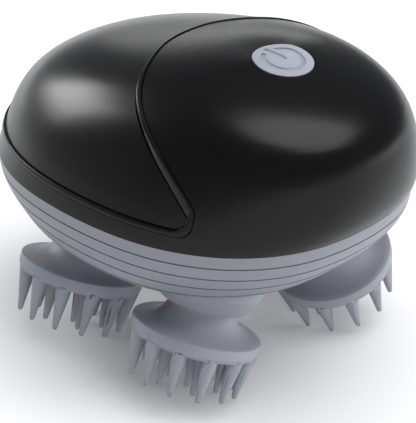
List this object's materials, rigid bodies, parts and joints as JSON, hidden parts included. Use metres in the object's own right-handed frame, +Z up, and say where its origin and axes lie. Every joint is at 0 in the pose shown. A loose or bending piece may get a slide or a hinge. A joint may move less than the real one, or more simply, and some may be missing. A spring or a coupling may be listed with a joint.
{
  "type": "electric scalp massager",
  "caption": "Handheld electric scalp massager: a domed pebble body with a top power button and four splayed rotating heads of soft bristles.",
  "frame": {"origin": "centre of the footprint, on the surface the bristle tips stand on", "axes": "+Z up, -Y towards the power button end, X across the body"},
  "size_m": [0.0878, 0.1104, 0.0827],
  "materials": {
    "black_shell": "satin",
    "black_panel": "satin",
    "grey_housing": "matte",
    "grey_button": "satin",
    "grey_silicone": "matte",
    "clear_seal": "matte",
    "black_seal": "matte",
    "white_nylon": "matte",
    "grey_frame": "matte",
    "ground_steel": "ground",
    "zinc_steel": "satin",
    "worm_brass": "machined",
    "bush_bronze": "satin",
    "armature_iron": "satin",
    "magnet_iron": "matte",
    "board_green": "satin",
    "chip_black": "matte",
    "battery_wrap": "satin",
    "lead_red": "satin",
    "lead_black": "satin",
    "socket_steel": "satin"
  },
  "bodies": {
    "casing": {"upper_shell": "black_shell", "rear_panel": "black_panel", "trim_bead": "black_shell", "lower_housing": "grey_housing", "shell_gasket": "black_seal", "button_seal": "clear_seal", "tact_switch": "chip_black", "circuit_board": "board_green", "controller_chip": "chip_black", "battery_cell": "battery_wrap", "battery_tray": "grey_frame", "battery_leads": "lead_red", "charging_socket": "socket_steel", "charging_board": "board_green", "charging_lead": "lead_black", "motor_can": "zinc_steel", "motor_end_cap": "white_nylon", "motor_magnets": "magnet_iron", "motor_leads": "lead_red", "gear_frame": "grey_frame", "gear_cover": "grey_frame", "shell_screws": "zinc_steel", "frame_screws": "zinc_steel", "cover_screws": "zinc_steel", "board_screws": "zinc_steel", "front_left_lower_bush": "bush_bronze", "front_left_upper_bush": "bush_bronze", "front_left_shaft_seal": "black_seal", "front_right_lower_bush": "bush_bronze", "front_right_upper_bush": "bush_bronze", "front_right_shaft_seal": "black_seal", "rear_left_lower_bush": "bush_bronze", "rear_left_upper_bush": "bush_bronze", "rear_left_shaft_seal": "black_seal", "rear_right_lower_bush": "bush_bronze", "rear_right_upper_bush": "bush_bronze", "rear_right_shaft_seal": "black_seal"},
    "button": {"power_button": "grey_button"},
    "rotor": {"rotor_shaft": "ground_steel", "armature": "armature_iron", "front_worm": "worm_brass", "rear_worm": "worm_brass"},
    "front_left_head": {"front_left_massage_head": "grey_silicone", "front_left_head_hub": "white_nylon", "front_left_drive_shaft": "ground_steel", "front_left_worm_wheel": "white_nylon"},
    "front_right_head": {"front_right_massage_head": "grey_silicone", "front_right_head_hub": "white_nylon", "front_right_drive_shaft": "ground_steel", "front_right_worm_wheel": "white_nylon"},
    "rear_left_head": {"rear_left_massage_head": "grey_silicone", "rear_left_head_hub": "white_nylon", "rear_left_drive_shaft": "ground_steel", "rear_left_worm_wheel": "white_nylon"},
    "rear_right_head": {"rear_right_massage_head": "grey_silicone", "rear_right_head_hub": "white_nylon", "rear_right_drive_shaft": "ground_steel", "rear_right_worm_wheel": "white_nylon"}
  },
  "joints": [
    {"name": "rotor_spin", "type": "hinge", "parent": "casing", "child": "rotor", "pos_m": [0, 0, 0.04763], "axis": [0, 1, 0], "continuous": true},
    {"name": "front_left_spin", "type": "hinge", "parent": "casing", "child": "front_left_head", "pos_m": [-0.0238, -0.02007, 0.01852], "axis": [0.3633, 0, 0.9317], "continuous": true},
    {"name": "front_right_spin", "type": "hinge", "parent": "casing", "child": "front_right_head", "pos_m": [0.0238, -0.02007, 0.01852], "axis": [-0.3633, 0, 0.9317], "continuous": true},
    {"name": "rear_left_spin", "type": "hinge", "parent": "casing", "child": "rear_left_head", "pos_m": [-0.0238, 0.02093, 0.01852], "axis": [0.3633, 0, 0.9317], "continuous": true},
    {"name": "rear_right_spin", "type": "hinge", "parent": "casing", "child": "rear_right_head", "pos_m": [0.0238, 0.02093, 0.01852], "axis": [-0.3633, 0, 0.9317], "continuous": true},
    {"name": "button_press", "type": "slide", "parent": "casing", "child": "button", "axis": [0, 0.1891, -0.982], "range_m": [0, 0.0006], "stiffness_N_per_m": 1500, "springref_m": -0.0004}
  ],
  "couplings": [
    {"joint": "front_left_spin", "follows": "rotor_spin", "ratio": -0.05},
    {"joint": "front_right_spin", "follows": "rotor_spin", "ratio": 0.05},
    {"joint": "rear_left_spin", "follows": "rotor_spin", "ratio": -0.05},
    {"joint": "rear_right_spin", "follows": "rotor_spin", "ratio": 0.05}
  ]
}
